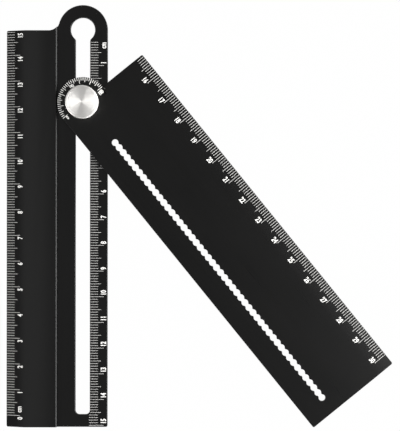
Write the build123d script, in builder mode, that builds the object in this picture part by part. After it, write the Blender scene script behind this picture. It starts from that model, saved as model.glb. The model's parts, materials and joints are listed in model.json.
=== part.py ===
from build123d import *
from math import sqrt
import os

# Folding, sliding set square: two 150 mm aluminium arms joined by one clamp.
#
# The base rule is an extruded section: a raised scale plate with a bevelled ruler
# edge, and a thinner slotted flange beside it. The swing blade lies on the flange,
# flush with the plate, and turns about a pivot that slides along the flange's slot.
# A turned knob on the pivot's stud clamps both motions.
#
# Frame: +Z up from the underside, +Y along the base rule towards its round end,
# +X from the plate to the flange. The origin is under the centre of the keyhole,
# on the line of the 15.0 graduation. Millimetres throughout.

os.makedirs("parts", exist_ok=True)

# ---------------------------------------------------------------- both arms
scale_length = 150.0        # graduated length of each arm
end_margin = 4.5            # plain length past the last graduation
ruler_reach = 29.7          # slot centre to either ruler edge
base_end_gap = 0.35         # 15.0 graduation to the plate's end
blade_end_gap = 0.05        # 15.0 graduation to the blade's end
corner_radius = 0.6         # outside corners in plan
edge_break = 0.2            # chamfer on exposed top edges

# ---------------------------------------------------------------- base rule
plate_thickness = 3.5       # underside to the top of the raised plate
flange_thickness = 2.0      # underside to the top of the flange
step_offset = 10.0          # slot centre to the foot of the step
step_chamfer = 0.4
flange_half_width = 9.65    # slot centre to the right edge, and the arch's radius
base_edge_thickness = 1.0   # height of the ruler edge
base_bevel_width = 7.3
nub_radius = 4.0            # hollow curve from the plate's end into the arch
slot_width = 5.55
slot_end_radius = 1.6
slot_end_web = 4.9          # solid length below the slot
keyhole_radius = 4.7
keyhole_neck_radius = 1.0
slot_chamfer = 0.3

# ---------------------------------------------------------------- swing blade
blade_thickness = plate_thickness - flange_thickness
fold_clearance = 0.1        # blade to the step when the arms are folded together
blade_edge_thickness = 0.9
blade_bevel_width = 8.0
nub_clearance = 0.15        # blade to the base's hollow curve, arms end to end
notch_relief_radius = 0.35
bead_radius = 1.31          # compass holes, run together into one beaded slot
bead_pitch = 2.5
bead_count = 52
bead_first = 20.0           # pivot to the first hole
bead_waist = 1.6            # width of the slot between two holes

# ---------------------------------------------------------------- rest pose
swing_angle = 39.1          # from folded, anticlockwise seen from above
pivot_drop = 28.4           # keyhole centre to the pivot, along the slot

# ---------------------------------------------------------------- clamp
floor_clearance = 0.1       # clamp's underside to the table
groove_depth = 0.9          # underside groove that hides the slide nut
nut_flange_radius = 5.8
nut_side_clearance = 0.2
guide_clearance = 0.075     # guide block to each side of the slot
guide_length = 7.2
clamp_gap = 0.05            # parts that stop short so that the clamp can bite
stud_radius = 1.95          # M4 stud, as a plain cylinder
thread_clearance = 0.05
bush_wall = 0.5
bearing_clearance = 0.05    # blade on its bush
friction_washer_radius = 7.0
friction_washer_thickness = 0.5
washer_side_clearance = 0.2
spring_radius = 5.0
spring_bore_clearance = 0.25
spring_thickness = 0.3
spring_height = 0.55        # of the cone, clamped
thrust_washer_radius = 5.6
thrust_washer_thickness = 0.5
knob_radius = 6.35
knob_height = 4.5
knob_top_chamfer = 0.35
knob_bottom_chamfer = 0.3
knob_crown = 1.0            # solid metal over the blind thread
knob_dimple_radius = 0.8    # the lathe centre's mark
knob_dimple_depth = 0.1
stud_end_gap = 0.45         # stud's tip to the bottom of the blind thread

# ---------------------------------------------------------------- derived places
arm_length = scale_length + end_margin
slot_length = arm_length - slot_end_web
boss_radius = step_offset - fold_clearance
bore_radius = stud_radius + thread_clearance
bush_radius = bore_radius + bush_wall
pivot_hole_radius = bush_radius + bearing_clearance
guide_width = slot_width - 2 * guide_clearance
groove_radius = nut_flange_radius + nut_side_clearance
lowest_pivot = slot_length - guide_length / 2

blade_top = flange_thickness + blade_thickness
bush_bottom = flange_thickness - clamp_gap
thrust_bottom = blade_top + spring_height
knob_bottom = thrust_bottom + thrust_washer_thickness
thread_depth = knob_height - knob_crown
stud_top = knob_bottom + thread_depth - stud_end_gap

swung = Rotation(0, 0, swing_angle)
blade_plane = Plane(Location((0, -pivot_drop, flange_thickness)) * swung)
blade_end_plane = Plane(
    origin=blade_plane.from_local_coords(Vector(0, boss_radius, 0)),
    x_dir=blade_plane.x_dir,
    z_dir=-blade_plane.y_dir,
)


def pivot_plane(height):
    """The horizontal plane at this height, centred on the pivot."""
    return Plane.XY.move(Location((0, -pivot_drop, height)))


def ring(bottom, outer_radius, inner_radius):
    """A flat ring about the pivot, drawn at this height."""
    with BuildSketch(pivot_plane(bottom)) as drawn:
        Circle(outer_radius)
        Circle(inner_radius, mode=Mode.SUBTRACT)
    return drawn.sketch


# ---------------------------------------------------------------- base_rule
with BuildPart() as base_rule:
    # The extrusion's section, drawn at the arch's crown and run to the far end.
    with BuildSketch(Plane.XZ.offset(-flange_half_width)):
        with BuildLine():
            Polyline(
                (-ruler_reach, 0),
                (flange_half_width, 0),
                (flange_half_width, flange_thickness),
                (-step_offset, flange_thickness),
                (-step_offset, plate_thickness - step_chamfer),
                (-step_offset - step_chamfer, plate_thickness),
                (base_bevel_width - ruler_reach, plate_thickness),
                (-ruler_reach, base_edge_thickness),
                close=True,
            )
        make_face()
    extrude(amount=flange_half_width + arm_length)

    # The plan outline: square plate, round arch, and the hollow curve between them.
    with BuildSketch() as base_outline:
        with Locations((-ruler_reach, -arm_length)):
            Rectangle(
                ruler_reach + flange_half_width,
                arm_length - base_end_gap,
                align=(Align.MIN, Align.MIN),
            )
        outer_corners = base_outline.vertices().sort_by(Axis.X)[:2]
        outer_corners += base_outline.vertices().sort_by(Axis.X)[2:].sort_by(Axis.Y)[:1]
        fillet(outer_corners, radius=corner_radius)
        Circle(flange_half_width)
        shoulder = base_outline.vertices().sort_by_distance((-flange_half_width, 0, 0))[0]
        fillet(shoulder, radius=nub_radius)
    extrude(amount=plate_thickness, mode=Mode.INTERSECT)

    # The keyhole slot, with its neck and lower corners rounded.
    with BuildSketch() as keyhole_slot:
        Rectangle(slot_width, slot_length, align=(Align.CENTER, Align.MAX))
        slot_end = keyhole_slot.vertices().sort_by(Axis.Y)[:2]
        fillet(slot_end, radius=slot_end_radius)
        Circle(keyhole_radius)
        neck = [v for v in keyhole_slot.vertices() if -keyhole_radius < v.Y < 0]
        fillet(neck, radius=keyhole_neck_radius)
    extrude(amount=plate_thickness, mode=Mode.SUBTRACT)

    # The underside groove that the slide nut runs in, with round ends.
    with BuildSketch():
        with Locations((0, -lowest_pivot / 2)):
            SlotCenterToCenter(lowest_pivot, 2 * groove_radius, rotation=90)
    extrude(amount=groove_depth, mode=Mode.SUBTRACT)

    # Light chamfers round the slot and round the flange's outside, up to the step.
    flange_top = (
        base_rule.faces()
        .filter_by(Plane.XY)
        .filter_by_position(Axis.Z, flange_thickness, flange_thickness)
        .sort_by(SortBy.AREA)[-1]
    )
    flange_outside = flange_top.outer_wire().edges().filter_by(
        lambda edge: edge.center().X > edge_break - step_offset
    )
    chamfer(flange_outside, length=edge_break)
    slot_rim = [
        edge
        for edge in base_rule.edges().filter_by_position(
            Axis.Z, flange_thickness, flange_thickness
        )
        if abs(edge.center().X) <= keyhole_radius
        and edge.center().Y < keyhole_radius + edge_break
        and edge.center().Y > -slot_length - edge_break
    ]
    chamfer(slot_rim, length=slot_chamfer)
base_rule.part.label = "base_rule"
export_step(base_rule.part, "parts/base_rule.step")

# ---------------------------------------------------------------- swing_blade
with BuildPart() as swing_blade:
    # A flat strip with one bevelled edge, drawn at the boss and run to the far end.
    with BuildSketch(blade_end_plane):
        with BuildLine():
            Polyline(
                (-boss_radius, 0),
                (ruler_reach, 0),
                (ruler_reach, blade_edge_thickness),
                (ruler_reach - blade_bevel_width, blade_thickness),
                (-boss_radius, blade_thickness),
                close=True,
            )
        make_face()
    extrude(amount=boss_radius + arm_length)

    with BuildSketch(blade_plane) as blade_outline:
        with Locations((-boss_radius, -arm_length)):
            Rectangle(
                ruler_reach + boss_radius,
                arm_length - blade_end_gap,
                align=(Align.MIN, Align.MIN),
            )
        corners = blade_outline.vertices().sort_by(Axis.X)
        fillet(corners[2:] + corners[:2].sort_by(Axis.Y)[:1], radius=corner_radius)
        Circle(boss_radius)

        # The notch that clears the base's hollow curve when the arms lie end to end.
        nub_rise = nub_radius - base_end_gap
        nub_offset = sqrt((flange_half_width + nub_radius) ** 2 - nub_rise**2)
        meeting_share = flange_half_width / (flange_half_width + nub_radius)
        with BuildSketch(mode=Mode.PRIVATE) as notch:
            with Locations((nub_offset, 0)):
                Rectangle(
                    nub_offset * (1 - meeting_share),
                    nub_rise * meeting_share,
                    align=(Align.MAX, Align.MAX),
                )
            with Locations((nub_offset, -nub_rise)):
                Circle(nub_radius - nub_clearance, mode=Mode.SUBTRACT)
            Circle(boss_radius, mode=Mode.SUBTRACT)
            with Locations((nub_offset * meeting_share, -nub_rise * meeting_share)):
                Circle(notch_relief_radius)
        add(notch.sketch, mode=Mode.SUBTRACT)

        Circle(pivot_hole_radius, mode=Mode.SUBTRACT)
        with Locations((0, -bead_first)):
            Rectangle(
                bead_waist,
                (bead_count - 1) * bead_pitch,
                align=(Align.CENTER, Align.MAX),
                mode=Mode.SUBTRACT,
            )
        beads = [(0, -bead_first - index * bead_pitch) for index in range(bead_count)]
        with Locations(*beads):
            Circle(bead_radius, mode=Mode.SUBTRACT)
    extrude(amount=blade_thickness, mode=Mode.INTERSECT)

    # The recess under the boss for the friction washer.
    with BuildSketch(blade_plane):
        Circle(friction_washer_radius + washer_side_clearance)
    extrude(amount=friction_washer_thickness, mode=Mode.SUBTRACT)
swing_blade.part.label = "swing_blade"
export_step(swing_blade.part, "parts/swing_blade.step")

# ---------------------------------------------------------------- slide_nut
with BuildPart() as slide_nut:
    # A round flange under the web, and a round-ended block that fills the slot.
    extrude(
        ring(floor_clearance, nut_flange_radius, stud_radius),
        amount=groove_depth - floor_clearance,
    )
    with BuildSketch(pivot_plane(groove_depth)):
        SlotOverall(guide_length, guide_width, rotation=90)
        Circle(stud_radius, mode=Mode.SUBTRACT)
    extrude(amount=bush_bottom - groove_depth)
slide_nut.part.label = "slide_nut"
export_step(slide_nut.part, "parts/slide_nut.step")

# ---------------------------------------------------------------- clamp_stud
with BuildPart() as clamp_stud:
    with BuildSketch(pivot_plane(floor_clearance)):
        Circle(stud_radius)
    extrude(amount=stud_top - floor_clearance)
    chamfer(clamp_stud.edges().sort_by(Axis.Z)[-1], length=edge_break)
clamp_stud.part.label = "clamp_stud"
export_step(clamp_stud.part, "parts/clamp_stud.step")

# ---------------------------------------------------------------- pivot_bush
with BuildPart() as pivot_bush:
    extrude(ring(bush_bottom, bush_radius, bore_radius), amount=blade_thickness)
pivot_bush.part.label = "pivot_bush"
export_step(pivot_bush.part, "parts/pivot_bush.step")

# ---------------------------------------------------------------- friction_washer
with BuildPart() as friction_washer:
    extrude(
        ring(
            flange_thickness,
            friction_washer_radius,
            bush_radius + washer_side_clearance,
        ),
        amount=friction_washer_thickness,
    )
friction_washer.part.label = "friction_washer"
export_step(friction_washer.part, "parts/friction_washer.step")

# ---------------------------------------------------------------- spring_washer
with BuildPart() as spring_washer:
    # A coned disc: its rim sits on the blade and its bore lifts the thrust washer.
    spring_bore = stud_radius + spring_bore_clearance
    spring_plane = Plane(
        origin=(0, -pivot_drop, blade_top), x_dir=(1, 0, 0), z_dir=(0, -1, 0)
    )
    with BuildSketch(spring_plane):
        with BuildLine():
            Polyline(
                (spring_radius, 0),
                (spring_radius, spring_thickness),
                (spring_bore, spring_height),
                (spring_bore, spring_height - spring_thickness),
                close=True,
            )
        make_face()
    revolve(axis=Axis((0, -pivot_drop, 0), (0, 0, 1)))
spring_washer.part.label = "spring_washer"
export_step(spring_washer.part, "parts/spring_washer.step")

# ---------------------------------------------------------------- thrust_washer
with BuildPart() as thrust_washer:
    extrude(
        ring(thrust_bottom, thrust_washer_radius, bore_radius),
        amount=thrust_washer_thickness,
    )
thrust_washer.part.label = "thrust_washer"
export_step(thrust_washer.part, "parts/thrust_washer.step")

# ---------------------------------------------------------------- clamp_knob
with BuildPart() as clamp_knob:
    with BuildSketch(pivot_plane(knob_bottom)):
        Circle(knob_radius)
    extrude(amount=knob_height)
    rims = clamp_knob.edges().sort_by(Axis.Z)
    chamfer(rims[-1], length=knob_top_chamfer)
    chamfer(rims[0], length=knob_bottom_chamfer)
    with BuildSketch(pivot_plane(knob_bottom)):
        Circle(bore_radius)
    extrude(amount=thread_depth, mode=Mode.SUBTRACT)
    with Locations((0, -pivot_drop, knob_bottom + knob_height)):
        Cone(
            0,
            knob_dimple_radius,
            knob_dimple_depth,
            align=(Align.CENTER, Align.CENTER, Align.MAX),
            mode=Mode.SUBTRACT,
        )
clamp_knob.part.label = "clamp_knob"
export_step(clamp_knob.part, "parts/clamp_knob.step")
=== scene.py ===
"""Looks of a folding, sliding set square: two anodised rules, one clamp.

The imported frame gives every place: the base rule's slot runs along +Y, the
scales lie on its top, and the swing blade turns about the clamp's stud. Lengths
are in metres, and sizes written in millimetres are multiplied by MM.
"""

import json
import logging
import math
from dataclasses import dataclass
from enum import Enum

import bmesh
import bpy
from mathutils import Matrix, Vector

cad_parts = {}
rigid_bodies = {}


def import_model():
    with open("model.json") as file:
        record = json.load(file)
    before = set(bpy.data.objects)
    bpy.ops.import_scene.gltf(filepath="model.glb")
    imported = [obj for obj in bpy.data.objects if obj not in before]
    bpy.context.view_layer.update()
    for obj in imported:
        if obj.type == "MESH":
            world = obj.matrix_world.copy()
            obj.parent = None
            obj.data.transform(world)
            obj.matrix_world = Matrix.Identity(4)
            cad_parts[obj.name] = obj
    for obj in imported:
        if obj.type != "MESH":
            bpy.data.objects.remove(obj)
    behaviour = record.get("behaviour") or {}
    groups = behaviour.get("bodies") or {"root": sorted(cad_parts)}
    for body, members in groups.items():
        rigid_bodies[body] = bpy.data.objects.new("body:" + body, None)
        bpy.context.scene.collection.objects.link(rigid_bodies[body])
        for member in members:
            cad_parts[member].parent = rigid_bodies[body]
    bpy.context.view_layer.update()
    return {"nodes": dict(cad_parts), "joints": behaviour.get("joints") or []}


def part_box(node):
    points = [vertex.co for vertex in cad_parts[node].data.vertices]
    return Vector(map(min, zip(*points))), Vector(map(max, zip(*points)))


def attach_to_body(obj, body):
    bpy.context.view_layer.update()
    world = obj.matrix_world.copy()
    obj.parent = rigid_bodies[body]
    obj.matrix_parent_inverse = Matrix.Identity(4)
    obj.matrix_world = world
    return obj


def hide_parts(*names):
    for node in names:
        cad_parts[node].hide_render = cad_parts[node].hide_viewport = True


MM = 0.001
CM = 10 * MM
SENSOR_WIDTH = 36.0  # millimetres, of a full-frame camera
# A laser mark is drawn as a bar half sunk in the metal, so half of this stands proud.
MARK_THICKNESS = 0.02 * MM
# A tick number that no scale reaches.
NEVER = 1000.0

# A noise texture's value lies mostly between these.
NOISE_LOW = 0.3
NOISE_HIGH = 0.7

MATHS = "ShaderNodeMath"

log = logging.getLogger("set_square")

Colour = tuple[float, float, float, float]
Material = bpy.types.Material
Mesh = bpy.types.Mesh
Node = bpy.types.Node
NodeTree = bpy.types.NodeTree
Piece = bpy.types.Object
Socket = bpy.types.NodeSocket


class Body(Enum):
    """The bodies of the mechanism."""

    BASE = "base"
    CARRIAGE = "carriage"
    BLADE = "blade"
    THRUST = "thrust"
    KNOB = "knob"


class Slot(Enum):
    """The material slots of the record."""

    BASE = "base_anodised"
    BLADE = "blade_anodised"
    KNOB = "knob_stainless"
    STUD = "stud_steel"
    NUT = "nut_steel"
    BUSH = "bush_brass"
    WASHER = "washer_nylon"
    SPRING = "spring_steel"
    THRUST = "thrust_steel"


def linear(hex_colour: str) -> Colour:
    """Turn an sRGB colour into linear light.

    Args:
        hex_colour: six hex digits after a hash.

    Returns:
        Red, green, blue and an alpha of 1.
    """
    shares = (int(hex_colour[i : i + 2], 16) / 255 for i in (1, 3, 5))
    rgb = [
        share / 12.92 if share <= 0.04045 else ((share + 0.055) / 1.055) ** 2.4
        for share in shares
    ]
    return (rgb[0], rgb[1], rgb[2], 1.0)


def set_inputs(tree: NodeTree, node: Node, inputs: dict) -> None:
    """Set a node's inputs.

    Args:
        tree: the node tree.
        node: the node.
        inputs: for each socket's name or number, a value or the socket to link.
    """
    for key, value in inputs.items():
        if isinstance(value, Socket):
            tree.links.new(value, node.inputs[key])
        else:
            node.inputs[key].default_value = value


def add_node(
    tree: NodeTree, kind: str, inputs: dict | None = None, **settings: object
) -> Node:
    """Add a node with its settings and its inputs.

    Args:
        tree: the node tree.
        kind: the node's class name.
        inputs: for each socket's name or number, a value or the socket to link.
        **settings: properties of the node itself.

    Returns:
        The new node.
    """
    node = tree.nodes.new(kind)
    for name, value in settings.items():
        setattr(node, name, value)
    set_inputs(tree, node, inputs or {})
    return node


# ---------------------------------------------------------------- finishes


@dataclass(frozen=True)
class Finish:
    """A finish on one of the object's materials."""

    name: str
    colour: str = "#ffffff"
    second_colour: str = "#ffffff"
    roughness: float = 0.5

    def build(self) -> Material:
        """Make the material, with its shader dressed by the subclass."""
        material = bpy.data.materials.new(self.name)
        material.use_nodes = True
        tree = material.node_tree
        tree.nodes.clear()
        shader = add_node(
            tree, "ShaderNodeBsdfPrincipled", {"Roughness": self.roughness}
        )
        add_node(tree, "ShaderNodeOutputMaterial", {"Surface": shader.outputs[0]})
        self.dress(tree, shader)
        return material

    def dress(self, tree: NodeTree, shader: Node) -> None:
        """Set the shader's sockets and link its patterns."""
        raise NotImplementedError

    def vary(
        self,
        tree: NodeTree,
        shader: Node,
        colour_by: Socket,
        roughness_by: Socket | None = None,
        margin: float = 0.0,
    ) -> None:
        """Vary the shader's colour and roughness a little by noise patterns.

        Args:
            tree: the material's node tree.
            shader: the material's shader.
            colour_by: the pattern that blends the two colours.
            roughness_by: the pattern that moves the roughness, if any does.
            margin: how far the roughness strays from its middle.
        """
        ramp = add_node(tree, "ShaderNodeValToRGB", {"Fac": colour_by})
        colours = (self.second_colour, self.colour)
        stops = zip((NOISE_LOW, NOISE_HIGH), colours, ramp.color_ramp.elements)
        for position, colour, element in stops:
            element.position = position
            element.color = linear(colour)
        set_inputs(tree, shader, {"Base Color": ramp.outputs["Color"]})
        if roughness_by is None:
            return
        spread = add_node(
            tree,
            "ShaderNodeMapRange",
            {
                "Value": roughness_by,
                "From Min": NOISE_LOW,
                "From Max": NOISE_HIGH,
                "To Min": self.roughness - margin,
                "To Max": self.roughness + margin,
            },
        )
        set_inputs(tree, shader, {"Roughness": spread.outputs[0]})

    @staticmethod
    def noise(
        tree: NodeTree,
        size_mm: tuple[float, float, float],
        turn: float = 0.0,
        centre: tuple[float, float, float] = (0.0, 0.0, 0.0),
        detail: float = 2.0,
    ) -> Socket:
        """Add a noise pattern of a real size.

        Args:
            tree: the material's node tree.
            size_mm: the pattern's size along each of the piece's directions.
            turn: angle in radians from the frame's axes to the piece's.
            centre: the point, in metres, that the pattern is turned about.
            detail: how many finer octaves it has.

        Returns:
            The socket with the pattern's value, 0 to 1.
        """
        place = add_node(tree, "ShaderNodeTexCoord")
        turned = add_node(
            tree,
            "ShaderNodeMapping",
            {
                "Vector": place.outputs["Object"],
                "Location": centre,
                "Rotation": (0, 0, turn),
            },
            vector_type="TEXTURE",
        )
        scales = [1 / (size * MM) for size in size_mm]
        scaled = add_node(
            tree, "ShaderNodeMapping", {"Vector": turned.outputs[0], "Scale": scales}
        )
        pattern = add_node(
            tree,
            "ShaderNodeTexNoise",
            {
                "Vector": scaled.outputs[0],
                "Scale": 1.0,
                "Detail": detail,
                "Roughness": 0.55,
            },
        )
        return pattern.outputs[0]


@dataclass(frozen=True)
class BlastedAnodising(Finish):
    """Extruded aluminium, bead-blasted fine and anodised black.

    The dyed oxide is a hard clear layer over black: no metal shows, the gloss is
    broad and dim, and along the rule run the die's faint draw lines.
    """

    colour: str = "#100f0e"
    second_colour: str = "#0c0c0b"
    roughness: float = 0.3
    turn: float = 0.0
    centre: tuple[float, float, float] = (0.0, 0.0, 0.0)

    def dress(self, tree: NodeTree, shader: Node) -> None:
        """Set a near-black dielectric with grain, draw lines and slow mottling."""
        # Blasting pits are 0.05 mm across; 0.3 mm is the finest that shows.
        grain = self.noise(tree, (0.3, 0.3, 0.3), self.turn, self.centre)
        # Draw lines stand 0.2 to 0.5 mm apart and run for centimetres.
        lines = self.noise(tree, (0.45, 70.0, 0.45), self.turn, self.centre)
        mottle = self.noise(tree, (14.0, 30.0, 14.0), self.turn, self.centre, 3.0)
        sheen = add_node(
            tree,
            "ShaderNodeMix",
            {"Factor": 0.45, "A": lines, "B": mottle},
            data_type="FLOAT",
        )
        drawn = add_node(
            tree,
            "ShaderNodeBump",
            {"Strength": 0.05, "Distance": 0.03 * MM, "Height": lines},
        )
        blasted = add_node(
            tree,
            "ShaderNodeBump",
            {
                "Strength": 0.12,
                "Distance": 0.03 * MM,
                "Height": grain,
                "Normal": drawn.outputs[0],
            },
        )
        self.vary(tree, shader, mottle, sheen.outputs[0], 0.03)
        set_inputs(
            tree, shader, {"IOR": 1.5, "Metallic": 0.0, "Normal": blasted.outputs[0]}
        )


@dataclass(frozen=True)
class LaserMark(Finish):
    """Anodising burnt off by a marking laser: dull, pale, slightly uneven.

    The numerals are filled in two passes. The fine ticks get one, and stay greyer.
    """

    colour: str = "#e9e8e5"
    second_colour: str = "#d6d5d1"
    roughness: float = 0.8

    def dress(self, tree: NodeTree, shader: Node) -> None:
        """Set a dull pale surface with the laser's own small unevenness."""
        # Burnt spots are 0.03 mm across; 0.12 mm is the finest that shows.
        self.vary(tree, shader, self.noise(tree, (0.12, 0.12, 0.12)))
        set_inputs(tree, shader, {"IOR": 1.45})


@dataclass(frozen=True)
class TurnedStainless(Finish):
    """Stainless steel faced in a lathe: its fine rings fan the light out radially."""

    colour: str = "#f7f5f2"
    second_colour: str = "#efedea"
    roughness: float = 0.56
    anisotropy: float = 0.92
    centre: tuple[float, float, float] = (0.0, 0.0, 0.0)

    def dress(self, tree: NodeTree, shader: Node) -> None:
        """Set a metal with tool rings about the piece's own axis."""
        place = add_node(tree, "ShaderNodeTexCoord")
        centred = add_node(
            tree,
            "ShaderNodeMapping",
            {"Vector": place.outputs["Object"], "Location": self.centre},
            vector_type="TEXTURE",
        )
        # The tool's feed is 0.08 mm a turn; 0.35 mm is the finest that shows.
        # At a scale of 1 the texture's rings stand two pi twentieths apart.
        rings = add_node(
            tree,
            "ShaderNodeTexWave",
            {
                "Vector": centred.outputs[0],
                "Scale": 2 * math.pi / 20 / (0.35 * MM),
                "Distortion": 0.6,
                "Detail": 2.0,
                "Detail Scale": 1.0,
            },
            wave_type="RINGS",
            rings_direction="Z",
        ).outputs["Fac"]
        bump = add_node(
            tree,
            "ShaderNodeBump",
            {"Strength": 0.12, "Distance": 0.01 * MM, "Height": rings},
        )
        tangent = add_node(tree, "ShaderNodeTangent", direction_type="RADIAL", axis="Z")
        self.vary(tree, shader, rings, rings, 0.03)
        sockets = {
            "Metallic": 1.0,
            "Anisotropic": self.anisotropy,
            "Anisotropic Rotation": 0.25,
            "Tangent": tangent.outputs[0],
            "Normal": bump.outputs[0],
        }
        set_inputs(tree, shader, sockets)


@dataclass(frozen=True)
class CutMetal(Finish):
    """Bare metal from a lathe or a press: steel, spring steel or brass."""

    colour: str = "#b9b7b3"
    second_colour: str = "#a5a39f"
    roughness: float = 0.35

    def dress(self, tree: NodeTree, shader: Node) -> None:
        """Set a metal with fine tool marks and slight handling stains."""
        # Tool marks are 0.1 mm apart; stains are a few millimetres wide.
        marks = self.noise(tree, (0.15, 0.15, 0.08))
        stains = self.noise(tree, (3.0, 3.0, 3.0), detail=3.0)
        bump = add_node(
            tree,
            "ShaderNodeBump",
            {"Strength": 0.15, "Distance": 0.01 * MM, "Height": marks},
        )
        self.vary(tree, shader, stains, stains, 0.06)
        set_inputs(tree, shader, {"Metallic": 1.0, "Normal": bump.outputs[0]})


@dataclass(frozen=True)
class MouldedNylon(Finish):
    """Natural nylon from a mould: milky, waxy, a little translucent at its rim."""

    colour: str = "#dedac9"
    second_colour: str = "#d3cebb"
    roughness: float = 0.45

    def dress(self, tree: NodeTree, shader: Node) -> None:
        """Set a waxy dielectric with slow clouding."""
        self.vary(tree, shader, self.noise(tree, (2.0, 2.0, 2.0)))
        sockets = {
            "IOR": 1.53,
            "Subsurface Weight": 0.15,
            "Subsurface Scale": 0.4 * MM,
        }
        set_inputs(tree, shader, sockets)


@dataclass(frozen=True)
class LightTable(Finish):
    """A white acrylic light table: it glows, so that nothing on it throws a shadow."""

    colour: str = "#303030"
    roughness: float = 0.9
    glow_colour: str = "#ffffff"
    glow: float = 0.985

    def dress(self, tree: NodeTree, shader: Node) -> None:
        """Set a dull white sheet with an even glow."""
        sockets = {
            "Base Color": linear(self.colour),
            "Specular IOR Level": 0.1,
            "Emission Color": linear(self.glow_colour),
            "Emission Strength": self.glow,
        }
        set_inputs(tree, shader, sockets)


# ---------------------------------------------------------------- mesh tools


@dataclass(frozen=True)
class Place:
    """A plane that marks lie on: its origin, its X direction and its Y direction."""

    origin: Vector
    across: Vector
    along: Vector

    def matrix(self) -> Matrix:
        """Return the matrix from the plane's own coordinates to the frame's."""
        x = self.across.normalized()
        y = self.along.normalized()
        rows = Matrix((x, y, x.cross(y))).transposed().to_4x4()
        return Matrix.Translation(self.origin) @ rows


def new_piece(name: str, mesh: Mesh) -> Piece:
    """Link a new object with this mesh, at the frame's origin."""
    mesh.name = name
    piece = bpy.data.objects.new(name, mesh)
    bpy.context.scene.collection.objects.link(piece)
    return piece


def attach(
    piece: Piece,
    body: Body,
    replaces: tuple[str, ...] = (),
) -> Piece:
    """Tell the frame which body a piece rides on, and what it stands for.

    Args:
        piece: the finished piece.
        body: the body that carries it.
        replaces: the nodes that it takes the place of.

    Returns:
        The piece.
    """
    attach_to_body(piece, body.value)
    if replaces:
        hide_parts(*replaces)
    faces = len(piece.data.polygons)
    log.info("%s rides on %s, %d faces", piece.name, body.value, faces)
    return piece


def applied(carrier: Piece, name: str) -> Mesh:
    """Evaluate an object, return its result as a plain mesh and remove the object.

    Args:
        carrier: a temporary object with modifiers, or a text object.
        name: the new mesh's name.

    Returns:
        The mesh.
    """
    bpy.context.view_layer.update()
    graph = bpy.context.evaluated_depsgraph_get()
    mesh = bpy.data.meshes.new_from_object(
        carrier.evaluated_get(graph), preserve_all_data_layers=True, depsgraph=graph
    )
    mesh.name = name
    data = carrier.data
    bpy.data.objects.remove(carrier)
    if data.users == 0 and isinstance(data, bpy.types.Curve):
        bpy.data.curves.remove(data)
    elif data.users == 0:
        bpy.data.meshes.remove(data)
    return mesh


def lathe(
    profile: list[tuple[float, float]],
    centre: Vector,
    steps: int,
) -> Mesh:
    """Turn a profile of (radius, height) points about a vertical axis.

    Args:
        profile: the points in metres, from one end of the section to the other.
        centre: a point on the axis; heights are added to its own.
        steps: how many sides the turned shape has.

    Returns:
        A mesh with its faces outwards, creases marked sharp.
    """
    build = bmesh.new()
    rings: list[list[bmesh.types.BMVert]] = []
    for radius, height in profile:
        if radius == 0.0:
            rings.append([build.verts.new(centre + Vector((0, 0, height)))] * steps)
            continue
        turned = []
        for k in range(steps):
            angle = 2 * math.pi * k / steps
            spoke = Vector((radius * math.cos(angle), radius * math.sin(angle), height))
            turned.append(build.verts.new(centre + spoke))
        rings.append(turned)
    for lower, upper in zip(rings, rings[1:]):
        for k in range(steps):
            corners = [lower[k], lower[k - 1], upper[k - 1], upper[k]]
            unique = list(dict.fromkeys(corners))
            if len(unique) > 2:
                build.faces.new(unique)
    bmesh.ops.recalc_face_normals(build, faces=build.faces)
    mesh = bpy.data.meshes.new("turned")
    build.to_mesh(mesh)
    build.free()
    crease(mesh)
    return mesh


def crease(mesh: Mesh, angle: float = math.radians(30)) -> None:
    """Shade a mesh smooth, except across edges sharper than the angle."""
    mesh.shade_smooth()
    mesh.set_sharp_from_angle(angle=angle)


def joined(meshes: list[Mesh], name: str) -> Mesh:
    """Join meshes of one material into a single mesh, and remove them."""
    build = bmesh.new()
    for mesh in meshes:
        build.from_mesh(mesh)
    result = bpy.data.meshes.new(name)
    build.to_mesh(result)
    build.free()
    for material in meshes[0].materials:
        result.materials.append(material)
    for mesh in meshes:
        bpy.data.meshes.remove(mesh)
    return result


def eased_copy(
    node: Piece, name: str, ease: float, lift: float = 0.0
) -> Mesh:
    """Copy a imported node's mesh, merge it, and round its sharp edges a little.

    Args:
        node: the node to copy.
        name: the new mesh's name.
        ease: width of the rounding in metres.
        lift: how far the lowest face is raised, for running clearance.

    Returns:
        The new mesh.
    """
    build = bmesh.new()
    build.from_mesh(node.data)
    bmesh.ops.remove_doubles(build, verts=build.verts, dist=0.002 * MM)
    bmesh.ops.dissolve_limit(
        build,
        angle_limit=math.radians(0.5),
        verts=build.verts,
        edges=build.edges,
        delimit={"NORMAL"},
    )
    lowest = min(vert.co.z for vert in build.verts)
    for vert in build.verts:
        if vert.co.z < lowest + 0.001 * MM:
            vert.co.z += lift
    build.normal_update()
    for face in build.faces:
        face.smooth = True
    for edge in build.edges:
        level = all(abs(face.normal.z) > 0.5 for face in edge.link_faces)
        edge.smooth = not (level and edge.calc_face_angle(0.0) > math.radians(2))
    mesh = bpy.data.meshes.new(name)
    build.to_mesh(mesh)
    build.free()
    carrier = new_piece(name + "_carrier", mesh)
    rounding = carrier.modifiers.new("rounding", "BEVEL")
    rounding.width = ease
    rounding.segments = 2
    rounding.limit_method = "ANGLE"
    rounding.angle_limit = math.radians(25)
    rounding.use_clamp_overlap = True
    shading = carrier.modifiers.new("shading", "WEIGHTED_NORMAL")
    shading.mode = "FACE_AREA"
    shading.weight = 100
    shading.keep_sharp = True
    return applied(carrier, name)


# ---------------------------------------------------------------- repeated marks


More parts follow.
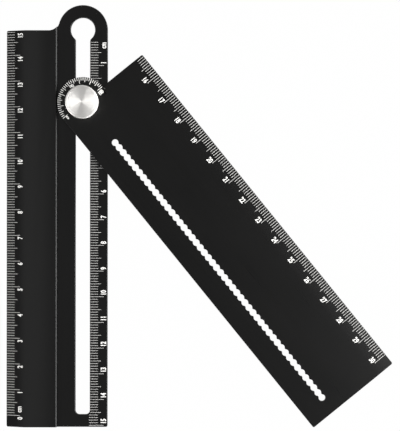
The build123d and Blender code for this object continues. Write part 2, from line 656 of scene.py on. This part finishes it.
class MarkTree:
    """A Geometry Nodes tree that repeats one small shape by rule."""

    def __init__(self, name: str, *sizes: str) -> None:
        """Make the tree with its named inputs.

        Args:
            name: the tree's name.
            *sizes: the names of its sizes; every tree has a Count and a Material too.
        """
        self.tree = bpy.data.node_groups.new(name, "GeometryNodeTree")
        kinds = {"Count": "NodeSocketInt"}
        kinds |= {label: "NodeSocketFloat" for label in sizes}
        kinds["Material"] = "NodeSocketMaterial"
        new_socket = self.tree.interface.new_socket
        self.sockets = {
            label: new_socket(label, in_out="INPUT", socket_type=kind)
            for label, kind in kinds.items()
        }
        new_socket("Geometry", in_out="OUTPUT", socket_type="NodeSocketGeometry")
        self.entry = add_node(self.tree, "NodeGroupInput")

    def add(
        self, kind: str, inputs: dict | None = None, **settings: object
    ) -> Socket | None:
        """Add a node to this tree and return its first output, if it has one."""
        node = add_node(self.tree, kind, inputs, **settings)
        return node.outputs[0] if node.outputs else None

    def value(self, label: str) -> Socket:
        """Return the socket that carries one of the named inputs."""
        return self.entry.outputs[label]

    def end_by_rank(
        self, number: Socket, steps: tuple[int, int], labels: tuple[str, str, str]
    ) -> Socket:
        """Choose where a tick ends by its number in the row.

        Args:
            number: the tick's whole number.
            steps: every how many ticks there is a middle one, and a long one.
            labels: the inputs with the plain, the middle and the long tick's end.

        Returns:
            The socket with the end.
        """
        end = self.value(labels[0])
        for step, label in zip(steps, labels[1:]):
            rest = self.add(MATHS, {0: number, 1: float(step)}, operation="MODULO")
            ranked = self.add(MATHS, {0: rest, 1: 0.5}, operation="LESS_THAN")
            end = self.add(
                "GeometryNodeSwitch",
                {"Switch": ranked, "False": end, "True": self.value(label)},
                input_type="FLOAT",
            )
        return end

    def row(self, position: Socket) -> Socket:
        """Lay out the tree's Count of points, each at its worked-out position."""
        line = self.add("GeometryNodeMeshLine", {"Count": self.value("Count")})
        return self.add(
            "GeometryNodeSetPosition", {"Geometry": line, "Position": position}
        )

    def bar(self, offset: float) -> Socket:
        """Make a unit block whose middle lies at an offset along X."""
        block = self.add("GeometryNodeMeshCube", {"Size": (1, 1, 1)})
        return self.add(
            "GeometryNodeTransform", {"Geometry": block, "Translation": (offset, 0, 0)}
        )

    def tick_size(self, far: Socket, near: Socket) -> Socket:
        """Return the scale that makes the unit block a tick from near to far."""
        length = self.add(MATHS, {0: far, 1: near}, operation="SUBTRACT")
        return self.add(
            "ShaderNodeCombineXYZ",
            {"X": length, "Y": self.value("Width"), "Z": self.value("Thickness")},
        )

    def around_axis(
        self, radius: Socket, angle: Socket, height: Socket | float = 0.0
    ) -> Socket:
        """Return the point at an angle round the axis."""
        cosine = self.add(MATHS, {0: angle}, operation="COSINE")
        sine = self.add(MATHS, {0: angle}, operation="SINE")
        x = self.add(MATHS, {0: radius, 1: cosine}, operation="MULTIPLY")
        y = self.add(MATHS, {0: radius, 1: sine}, operation="MULTIPLY")
        return self.add("ShaderNodeCombineXYZ", {"X": x, "Y": y, "Z": height})

    def close(
        self, points: Socket, shape: Socket, rotation: object, scale: object
    ) -> None:
        """Put the shape on the points, make it real, and give it its material."""
        put = self.add(
            "GeometryNodeInstanceOnPoints",
            {"Points": points, "Instance": shape, "Rotation": rotation, "Scale": scale},
        )
        real = self.add("GeometryNodeRealizeInstances", {0: put})
        dressed = self.add(
            "GeometryNodeSetMaterial",
            {"Geometry": real, "Material": self.value("Material")},
        )
        self.add("NodeGroupOutput", {0: dressed})

    def run(self, name: str, values: dict[str, object]) -> Mesh:
        """Run the tree with these inputs and return its mesh.

        Args:
            name: the mesh's name.
            values: a value for each named input.

        Returns:
            A plain mesh, in the tree's own coordinates.
        """
        carrier = new_piece(name + "_carrier", bpy.data.meshes.new(name + "_seed"))
        modifier = carrier.modifiers.new("marks", "NODES")
        modifier.node_group = self.tree
        for label, value in values.items():
            modifier[self.sockets[label].identifier] = value
        return applied(carrier, name)


class ScaleTree(MarkTree):
    """Millimetre ticks in a row: every fifth is longer, every tenth longer still."""

    def __init__(self) -> None:
        """Build the row of ticks along Y, each running along X from its start."""
        super().__init__(
            "millimetre_ticks",
            "Pitch",
            "Start",
            "Millimetre End",
            "Half End",
            "Centimetre End",
            "Width",
            "Thickness",
            "Run-out From",
            "Run-out",
        )
        index = self.add("GeometryNodeInputIndex")
        place = self.add(MATHS, {0: index, 1: 1.0}, operation="ADD")
        limit, drop = self.value("Run-out From"), self.value("Run-out")
        beyond = self.add(MATHS, {0: place, 1: limit}, operation="GREATER_THAN")
        back = self.add(MATHS, {0: beyond, 1: drop}, operation="MULTIPLY")
        start = self.add(
            MATHS, {0: self.value("Start"), 1: back}, operation="SUBTRACT"
        )
        end = self.end_by_rank(
            place, (5, 10), ("Millimetre End", "Half End", "Centimetre End")
        )
        along = self.add(
            MATHS, {0: place, 1: self.value("Pitch")}, operation="MULTIPLY"
        )
        position = self.add("ShaderNodeCombineXYZ", {"X": start, "Y": along})
        size = self.tick_size(end, start)
        self.close(self.row(position), self.bar(0.5), (0, 0, 0), size)

    def ticks(
        self,
        name: str,
        count: int,
        pitch: float,
        start: float,
        ends: tuple[float, float, float],
        material: Material,
        width: float = 0.15 * MM,
        run_out_from: float = NEVER,
        run_out: float = 0.0,
    ) -> Mesh:
        """Lay a row of ticks on the XY plane.

        Args:
            name: the mesh's name.
            count: how many ticks there are.
            pitch: from tick to tick along Y; negative for a row that runs back.
            start: where each tick begins along X.
            ends: where the millimetre, five and ten millimetre ticks end.
            material: the ticks' material.
            width: of each tick.
            run_out_from: the tick after which the ticks begin further back.
            run_out: how much further back those begin.

        Returns:
            The mesh.
        """
        values = {
            "Count": count,
            "Pitch": pitch,
            "Start": start,
            "Millimetre End": ends[0],
            "Half End": ends[1],
            "Centimetre End": ends[2],
            "Width": width,
            "Thickness": MARK_THICKNESS,
            "Run-out From": run_out_from,
            "Run-out": run_out,
            "Material": material,
        }
        return self.run(name, values)


class DialTree(MarkTree):
    """Degree ticks round an arc: every third is longer, every sixth longer still."""

    def __init__(self) -> None:
        """Build the ticks from their outer ends inwards, anticlockwise from +X."""
        super().__init__(
            "degree_ticks",
            "Step",
            "Outer Radius",
            "Short Radius",
            "Middle Radius",
            "Long Radius",
            "Width",
            "Thickness",
        )
        index = self.add("GeometryNodeInputIndex")
        angle = self.add(
            MATHS, {0: index, 1: self.value("Step")}, operation="MULTIPLY"
        )
        outer = self.value("Outer Radius")
        inner = self.end_by_rank(
            index, (3, 6), ("Short Radius", "Middle Radius", "Long Radius")
        )
        points = self.row(self.around_axis(outer, angle))
        turn = self.add("ShaderNodeCombineXYZ", {"Z": angle})
        self.close(points, self.bar(-0.5), turn, self.tick_size(outer, inner))


class KnurlTree(MarkTree):
    """Straight knurling: pointed ribs all round a barrel, parallel to its axis."""

    def __init__(self) -> None:
        """Build square bars on edge, sunk in the barrel so that one edge stands out."""
        super().__init__(
            "straight_knurl", "Root Radius", "Rib Size", "Bottom", "Height"
        )
        index = self.add("GeometryNodeInputIndex")
        share = self.add(
            MATHS, {0: index, 1: self.value("Count")}, operation="DIVIDE"
        )
        angle = self.add(MATHS, {0: share, 1: 2 * math.pi}, operation="MULTIPLY")
        height, bottom = self.value("Height"), self.value("Bottom")
        middle = self.add(
            MATHS, {0: height, 1: 0.5, 2: bottom}, operation="MULTIPLY_ADD"
        )
        points = self.row(self.around_axis(self.value("Root Radius"), angle, middle))
        rib = self.add(
            "GeometryNodeMeshCylinder",
            {"Vertices": 4, "Radius": self.value("Rib Size"), "Depth": height},
        )
        turn = self.add("ShaderNodeCombineXYZ", {"Z": angle})
        self.close(points, rib, turn, (1, 1, 1))


@dataclass(frozen=True)
class Marks:
    """The two finishes of the laser's marks."""

    tick: Material
    numeral: Material


@dataclass(frozen=True)
class Lettering:
    """Plain laser lettering: narrow, upright digits of one stroke width."""

    cap_height: float = 2.2 * MM
    width_share: float = 0.7
    weight: float = 0.03

    def glyphs(
        self, text: str, align: str, material: Material
    ) -> Mesh:
        """Set a word flat, its baseline along +X, as a thin solid mesh.

        Args:
            text: the digits or the unit.
            align: LEFT, CENTER or RIGHT.
            material: the mark's material.

        Returns:
            The mesh, in metres.
        """
        unit = self._set("0", "LEFT", 1.0)
        heights = [v.co.y for v in unit.vertices]
        size = self.cap_height / (max(heights) - min(heights))
        bpy.data.meshes.remove(unit)
        word = self._set(text, align, size)
        word.transform(Matrix.Diagonal((self.width_share, 1, 1, 1)))
        word.materials.clear()
        word.materials.append(material)
        return word

    def _set(self, text: str, align: str, size: float) -> Mesh:
        """Set a word at a font size and return its mesh."""
        curve = bpy.data.curves.new("word", "FONT")
        curve.body = text
        curve.size = size
        curve.align_x = align
        curve.resolution_u = 3
        curve.offset = self.weight * size
        curve.extrude = MARK_THICKNESS / 2
        carrier = bpy.data.objects.new("word", curve)
        bpy.context.scene.collection.objects.link(carrier)
        return applied(carrier, "word")


@dataclass(frozen=True)
class Graduation:
    """One millimetre scale: its ticks, its numerals and its unit.

    Distances from the edge are measured along the marked surface.
    """

    name: str
    place: Place
    body: Body
    slot: Slot
    labels: tuple[tuple[str, float], ...]
    unit: tuple[str, float, float] | None = None
    direction: int = -1
    stretch: float = 1.0
    count: int = 150
    start: float = 0.12 * MM
    ends: tuple[float, float, float] = (3.2 * MM, 4.3 * MM, 5.35 * MM)
    tick_width: float = 0.15 * MM
    run_out_from: float = NEVER
    run_out: float = 0.0
    baseline: float = 6.35 * MM
    align: str = "RIGHT"

    def build(
        self, tree: ScaleTree, lettering: Lettering, marks: Marks
    ) -> list[Piece]:
        """Make the ticks and the numerals, and put them on their surface.

        Args:
            tree: the tick tree.
            lettering: the numerals' style.
            marks: the marks' materials.

        Returns:
            The two pieces.
        """
        ticks = tree.ticks(
            self.name + "_ticks",
            self.count,
            self.direction * MM,
            self.start * self.stretch,
            tuple(end * self.stretch for end in self.ends),
            marks.tick,
            self.tick_width,
            self.run_out_from,
            self.run_out * self.stretch,
        )
        ticks.transform(self.place.matrix())
        placed = [
            (text, along, self.baseline, self.align) for text, along in self.labels
        ]
        if self.unit:
            placed.append((*self.unit, "CENTER"))
        words = [self._word(lettering, *word, marks.numeral) for word in placed]
        numerals = joined(words, self.name + "_numerals")
        numerals.transform(self.place.matrix())
        return [
            attach(new_piece(mesh.name, mesh), self.body)
            for mesh in (ticks, numerals)
        ]

    def _word(
        self,
        lettering: Lettering,
        text: str,
        along: float,
        baseline: float,
        align: str,
        mark: Material,
    ) -> Mesh:
        """Set a word reading along +Y, its top towards the scale's edge."""
        mesh = lettering.glyphs(text, align, mark)
        quarter = Matrix.Rotation(math.pi / 2, 4, "Z")
        place = Matrix.Translation((baseline * self.stretch, along, 0))
        mesh.transform(place @ quarter)
        return mesh


# ---------------------------------------------------------------- sub-assemblies


@dataclass(frozen=True)
class SoftBox:
    """One soft box: degrees round from +X, degrees from straight up, and its face.

    A flagged box is masked off from the black rules, as a studio's flags do it, so
    that it lights the metal and the marks and leaves the anodising black.
    """

    name: str
    azimuth: float
    lean: float
    reach: float
    width: float
    height: float
    radiance: float
    flagged: bool = False

    def hang(self, target: Vector, bright: bpy.types.Collection) -> None:
        """Hang the box so that it faces the target.

        Args:
            target: the point that it faces.
            bright: the pieces that a flagged box lights.
        """
        data = bpy.data.lights.new(self.name, "AREA")
        data.shape = "RECTANGLE"
        data.size, data.size_y = self.width, self.height
        data.energy = self.radiance * math.pi * self.width * self.height
        light = bpy.data.objects.new(self.name, data)
        tilt, turn = math.radians(self.lean), math.radians(self.azimuth)
        flat = math.sin(tilt)
        out = Vector((flat * math.cos(turn), flat * math.sin(turn), math.cos(tilt)))
        light.location = target + out * self.reach
        light.rotation_euler = out.to_track_quat("Z", "Y").to_euler()
        light.visible_camera = False
        if self.flagged:
            light.light_linking.receiver_collection = bright
        bpy.context.scene.collection.objects.link(light)


@dataclass
class Studio:
    """The camera, the lights and the table."""

    aim: tuple[float, float] = (45.6 * MM, -72.2 * MM)
    aim_height: float = 2.0 * MM
    distance: float = 600 * MM
    field_height: float = 167.7 * MM
    roll: float = math.radians(0.06)
    clip: tuple[float, float] = (0.01, 20.0)
    table_size: float = 6.0
    table_drop: float = 0.05 * MM
    room_light: float = 0.17
    boxes: tuple[SoftBox, ...] = (
        SoftBox("box_upper_left", 180, 20, 1.5, 1.1, 0.4, 0.55),
        SoftBox("box_upper_right", 0, 25, 1.4, 0.8, 0.5, 2.0),
        SoftBox("box_edge_right", 0, 86, 1.4, 2.2, 0.2, 7.0),
        SoftBox("box_edge_left", 212, 84, 1.4, 2.2, 0.2, 7.0),
        SoftBox("box_low_right", 0, 62, 1.4, 1.9, 0.8, 7.6, True),
        SoftBox("box_low_left", 205, 76, 1.4, 1.6, 0.5, 5.0, True),
        SoftBox("box_right_back", 54, 62, 1.4, 1.0, 0.7, 4.2, True),
        SoftBox("box_right_front", -54, 62, 1.4, 1.0, 0.7, 4.8, True),
        SoftBox("box_back", 92, 62, 1.4, 1.0, 0.6, 1.5, True),
        SoftBox("box_front", -92, 62, 1.4, 1.0, 0.6, 2.1, True),
    )

    def build(self, bright: list[Piece]) -> None:
        """Set up the whole studio.

        Args:
            bright: the metal pieces and the marks, which the flagged boxes light.
        """
        self.camera()
        self.lights(bright)
        self.table()
        view = bpy.context.scene.view_settings
        view.view_transform = "Standard"
        view.look = "None"

    def camera(self) -> None:
        """Hang the camera over the object, looking straight down."""
        data = bpy.data.cameras.new("overhead")
        data.sensor_width = SENSOR_WIDTH
        data.lens = SENSOR_WIDTH * self.distance / self.field_height
        data.clip_start, data.clip_end = self.clip
        camera = bpy.data.objects.new("overhead", data)
        camera.location = (*self.aim, self.aim_height + self.distance)
        camera.rotation_euler = (0, 0, self.roll)
        bpy.context.scene.collection.objects.link(camera)
        bpy.context.scene.camera = camera

    def lights(self, bright: list[Piece]) -> None:
        """Hang the soft boxes round the table and dim the room."""
        lit = bpy.data.collections.new("bright_pieces")
        for piece in bright:
            lit.objects.link(piece)
        for box in self.boxes:
            box.hang(Vector((*self.aim, 0)), lit)
        world = bpy.data.worlds.new("room")
        world.use_nodes = True
        room = world.node_tree.nodes["Background"]
        room.inputs["Color"].default_value = linear("#ffffff")
        room.inputs["Strength"].default_value = self.room_light
        bpy.context.scene.world = world

    def table(self) -> None:
        """Lay the pale table under the object."""
        build = bmesh.new()
        half = self.table_size / 2
        bmesh.ops.create_grid(build, x_segments=1, y_segments=1, size=half)
        mesh = bpy.data.meshes.new("table")
        build.to_mesh(mesh)
        build.free()
        mesh.transform(Matrix.Translation((*self.aim, -self.table_drop)))
        mesh.materials.append(LightTable("light_table").build())
        new_piece("table", mesh)


@dataclass
class BaseRule:
    """The slotted base rule: a raised plate, a flange, and two printed scales."""

    node: Piece
    marks: Marks
    ticks: ScaleTree
    lettering: Lettering
    ease: float = 0.1 * MM
    edge_height: float = 1.0 * MM
    bevel_width: float = 7.3 * MM
    plate_height: float = 3.5 * MM
    flange_height: float = 2.0 * MM
    slot_half_width: float = 2.775 * MM
    slot_zero: float = -3.85 * MM
    slot_chamfer: float = 0.3 * MM
    chamfer_count: int = 145
    label_gap: float = 0.55 * MM
    first_drop: float = 0.8 * MM

    def build(self) -> None:
        """Make the rule and lay out its scales."""
        mesh = eased_copy(self.node, "base_rule_eased", self.ease)
        mesh.materials.clear()
        mesh.materials.append(BlastedAnodising("black_anodising_base").build())
        attach(new_piece("base_rule_eased", mesh), Body.BASE, ("base_rule",))
        self.edge_scale().build(self.ticks, self.lettering, self.marks)
        self.slot_scale().build(self.ticks, self.lettering, self.marks)
        self.chamfer_ticks()

    def chamfer_ticks(self) -> None:
        """Carry the slot scale's ticks down the slot's chamfer to its wall."""
        slope = self.slot_chamfer * math.sqrt(2)
        ticks = self.ticks.ticks(
            "chamfer_ticks",
            self.chamfer_count,
            -MM,
            0.0,
            (slope, slope, slope),
            self.marks.tick,
        )
        wall_top = self.flange_height - self.slot_chamfer
        place = Place(
            Vector((self.slot_half_width, self.slot_zero, wall_top)),
            Vector((1, 0, 1)),
            Vector((0, 1, 0)),
        )
        ticks.transform(place.matrix())
        attach(new_piece("chamfer_ticks", ticks), Body.BASE)

    def edge_scale(self) -> Graduation:
        """Lay 15 down to 0 along the bevelled edge."""
        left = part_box("base_rule")[0].x
        rise = self.plate_height - self.edge_height
        across = Vector((self.bevel_width, 0, rise))
        drops = {15: self.first_drop}
        labels = tuple(
            (str(cm), (cm - 15) * CM - self.label_gap - drops.get(cm, 0.0))
            for cm in range(15, -1, -1)
        )
        return Graduation(
            "edge_scale",
            Place(Vector((left, 0, self.edge_height)), across, Vector((0, 1, 0))),
            Body.BASE,
            Slot.BASE,
            labels,
            unit=("cm", -147.6 * MM, 6.0 * MM),
            stretch=across.length / self.bevel_width,
        )

    def slot_scale(self) -> Graduation:
        """Lay 1 to 15 down the right side of the slot."""
        labels = tuple((str(cm), self.label_gap - cm * CM) for cm in range(1, 16))
        return Graduation(
            "slot_scale",
            Place(
                Vector((self.slot_half_width, self.slot_zero, self.flange_height)),
                Vector((1, 0, 0)),
                Vector((0, 1, 0)),
            ),
            Body.BASE,
            Slot.BASE,
            labels,
            unit=("cm", -2.2 * MM, 6.2 * MM),
            start=self.slot_chamfer,
            ends=(3.2 * MM, 4.35 * MM, 5.4 * MM),
            run_out_from=145.5,
            run_out=0.6 * MM,
            baseline=6.27 * MM,
            align="LEFT",
        )


@dataclass
class SwingBlade:
    """The swing blade: a bevelled scale, a beaded slot, and the angle dial."""

    node: Piece
    marks: Marks
    ticks: ScaleTree
    dial: DialTree
    lettering: Lettering
    pivot: Vector
    swing: float
    ease: float = 0.22 * MM
    lift: float = 0.03 * MM
    reach: float = 29.7 * MM
    edge_height: float = 2.9 * MM
    top: float = 3.5 * MM
    bevel_width: float = 8.0 * MM
    label_gap: float = 0.55 * MM
    dial_count: int = 37
    dial_step: float = math.radians(5)
    dial_tick_width: float = 0.25 * MM
    dial_ends: tuple[float, float, float, float] = (
        9.82 * MM,
        8.6 * MM,
        8.0 * MM,
        7.45 * MM,
    )
    dial_labels: tuple[tuple[str, float, float], ...] = (
        ("180", 7.95 * MM, -1.2 * MM),
        ("90", 0.75 * MM, 7.6 * MM),
        ("0", -8.2 * MM, -0.65 * MM),
    )

    def across(self) -> Vector:
        """Return the direction from the pivot to the ruler edge."""
        return Vector((math.cos(self.swing), math.sin(self.swing), 0))

    def along(self) -> Vector:
        """Return the direction from the pivot down the blade."""
        return Vector((math.sin(self.swing), -math.cos(self.swing), 0))

    def build(self) -> None:
        """Make the blade, its scale and its dial."""
        mesh = eased_copy(self.node, "swing_blade_eased", self.ease, self.lift)
        mesh.materials.clear()
        finish = BlastedAnodising(
            "black_anodising_blade", turn=self.swing, centre=tuple(self.pivot)
        )
        mesh.materials.append(finish.build())
        piece = new_piece("swing_blade_eased", mesh)
        attach(piece, Body.BLADE, ("swing_blade",))
        self.edge_scale().build(self.ticks, self.lettering, self.marks)
        self.dial_marks()

    def edge_scale(self) -> Graduation:
        """Lay 16 to 30 along the bevelled edge."""
        rise = self.top - self.edge_height
        across = -self.across() * self.bevel_width + Vector((0, 0, rise))
        edge = self.pivot + self.across() * self.reach
        labels = tuple(
            (str(cm), (cm - 15) * CM - self.label_gap) for cm in range(16, 31)
        )
        return Graduation(
            "blade_scale",
            Place(Vector((edge.x, edge.y, self.edge_height)), across, self.along()),
            Body.BLADE,
            Slot.BLADE,
            labels,
            direction=1,
            stretch=across.length / self.bevel_width,
            tick_width=0.18 * MM,
        )

    def dial_marks(self) -> None:
        """Lay the half circle of degrees round the boss, with its three labels."""
        outer, short, middle, long_end = self.dial_ends
        centre = Vector((self.pivot.x, self.pivot.y, self.top))
        place = Place(centre, self.across(), -self.along())
        ticks = self.dial.run(
            "dial_ticks",
            {
                "Count": self.dial_count,
                "Step": self.dial_step,
                "Outer Radius": outer,
                "Short Radius": short,
                "Middle Radius": middle,
                "Long Radius": long_end,
                "Width": self.dial_tick_width,
                "Thickness": MARK_THICKNESS,
                "Material": self.marks.numeral,
            },
        )
        ticks.transform(place.matrix())
        attach(new_piece("dial_ticks", ticks), Body.BLADE)
        small = Lettering(cap_height=1.65 * MM, weight=0.06)
        words = []
        for text, x, y in self.dial_labels:
            word = small.glyphs(text, "CENTER", self.marks.numeral)
            word.transform(Matrix.Translation((x, y - small.cap_height / 2, 0)))
            words.append(word)
        labels = joined(words, "dial_numerals")
        labels.transform(place.matrix())
        attach(new_piece("dial_numerals", labels), Body.BLADE)


@dataclass
class Clamp:
    """The clamp: the turned knob and the hardware under it."""

    nodes: dict[str, Piece]
    pivot: Vector
    knurl: KnurlTree
    sides: int = 128
    rib_count: int = 72
    rib_size: float = 0.22 * MM
    rib_gap: float = 0.35 * MM
    rib_height_loss: float = 1.1 * MM
    thread_radius: float = 2.0 * MM
    thread_depth: float = 3.5 * MM
    lead_in: float = 0.25 * MM
    foot_chamfer: float = 0.3 * MM
    collar: float = 0.7 * MM
    rim: float = 0.32 * MM
    rim_shoulder: float = 0.1 * MM
    groove: tuple[float, float, float] = (5.5 * MM, 5.38 * MM, 5.26 * MM)
    groove_depth: float = 0.1 * MM
    dimple_radius: float = 0.8 * MM
    dimple_tip: tuple[float, float] = (0.15 * MM, 0.085 * MM)
    dimple_depth: float = 0.1 * MM

    def build(self) -> list[str]:
        """Make the knob, dress the hardware, and return the hardware's names."""
        self.knob()
        return self.hardware()

    def knob_profile(self, root: float, radius: float, height: float) -> list:
        """Draw the knob's section, from the thread's end up and over the top.

        Args:
            root: the barrel's radius between the ribs.
            radius: the collar's radius.
            height: of the whole knob.

        Returns:
            The points as (radius, height) pairs.
        """
        outer, middle, inner = self.groove
        tip_radius, tip_depth = self.dimple_tip
        return [
            (0.0, self.thread_depth),
            (self.thread_radius, self.thread_depth),
            (self.thread_radius, self.lead_in),
            (self.thread_radius + self.lead_in, 0.0),
            (root - self.foot_chamfer, 0.0),
            (root, self.foot_chamfer),
            (root, height - self.collar),
            (radius, height - self.collar),
            (radius, height - self.rim),
            (radius - self.rim_shoulder, height - self.rim_shoulder),
            (radius - self.rim, height),
            (outer, height),
            (middle, height - self.groove_depth),
            (inner, height),
            (self.dimple_radius, height),
            (tip_radius, height - tip_depth),
            (0.0, height - self.dimple_depth),
        ]

    def knob(self) -> None:
        """Turn the knob's profile and knurl its barrel."""
        low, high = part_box("clamp_knob")
        radius = (high.x - low.x) / 2
        height = high.z - low.z
        root = radius - self.rib_size
        finish = TurnedStainless(
            "turned_stainless", centre=(self.pivot.x, self.pivot.y, high.z)
        ).build()
        centre = Vector((self.pivot.x, self.pivot.y, low.z))
        body = lathe(self.knob_profile(root, radius, height), centre, self.sides)
        body.materials.append(finish)
        ribs = self.knurl.run(
            "knurl",
            {
                "Count": self.rib_count,
                "Root Radius": root,
                "Rib Size": self.rib_size,
                "Bottom": self.rib_gap,
                "Height": height - self.rib_height_loss,
                "Material": finish,
            },
        )
        ribs.transform(Matrix.Translation(centre))
        mesh = joined([body, ribs], "knob_turned")
        crease(mesh)
        attach(new_piece("knob_turned", mesh), Body.KNOB, ("clamp_knob",))

    def hardware(self) -> list[str]:
        """Give the stud, nut, bush and washers their finishes; return their names."""
        steel = CutMetal("cut_steel").build()
        spring = CutMetal("spring_steel", "#8d8b88", "#7b7976", 0.3).build()
        finishes = {
            "clamp_stud": steel,
            "slide_nut": steel,
            "thrust_washer": steel,
            "pivot_bush": CutMetal("turned_brass", "#c9a861", "#b8944c", 0.3).build(),
            "spring_washer": spring,
            "friction_washer": MouldedNylon("natural_nylon").build(),
        }
        for name, finish in finishes.items():
            mesh = self.nodes[name].data
            if not mesh.materials:
                mesh.materials.append(finish)
            for number in range(len(mesh.materials)):
                mesh.materials[number] = finish
            log.info("%s keeps its packed shape", name)
        return list(finishes)


def main() -> None:
    """Load the frame and build the studio and the three sub-assemblies."""
    logging.basicConfig(level=logging.INFO, format="%(name)s: %(message)s")
    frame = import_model()
    joints = {joint["name"]: joint for joint in frame["joints"]}
    pivot = Vector(joints["blade_swing"]["pos_m"])
    swing = -math.radians(joints["blade_swing"]["range_deg"][0])

    marks = Marks(
        tick=LaserMark("laser_mark_fine", "#c6c5c2", "#b1b0ad").build(),
        numeral=LaserMark("laser_mark_filled").build(),
    )
    ticks, dial, knurl = ScaleTree(), DialTree(), KnurlTree()
    lettering = Lettering()
    BaseRule(frame["nodes"]["base_rule"], marks, ticks, lettering).build()
    SwingBlade(
        frame["nodes"]["swing_blade"], marks, ticks, dial, lettering, pivot, swing
    ).build()
    hardware = Clamp(frame["nodes"], pivot, knurl).build()
    drawn = ("_ticks", "_numerals", "knob_turned")
    pieces = bpy.context.scene.objects
    bright = [piece for piece in pieces if piece.name.endswith(drawn)]
    Studio().build(bright + [frame["nodes"][name] for name in hardware])


if __name__ == "__main__":
    main()
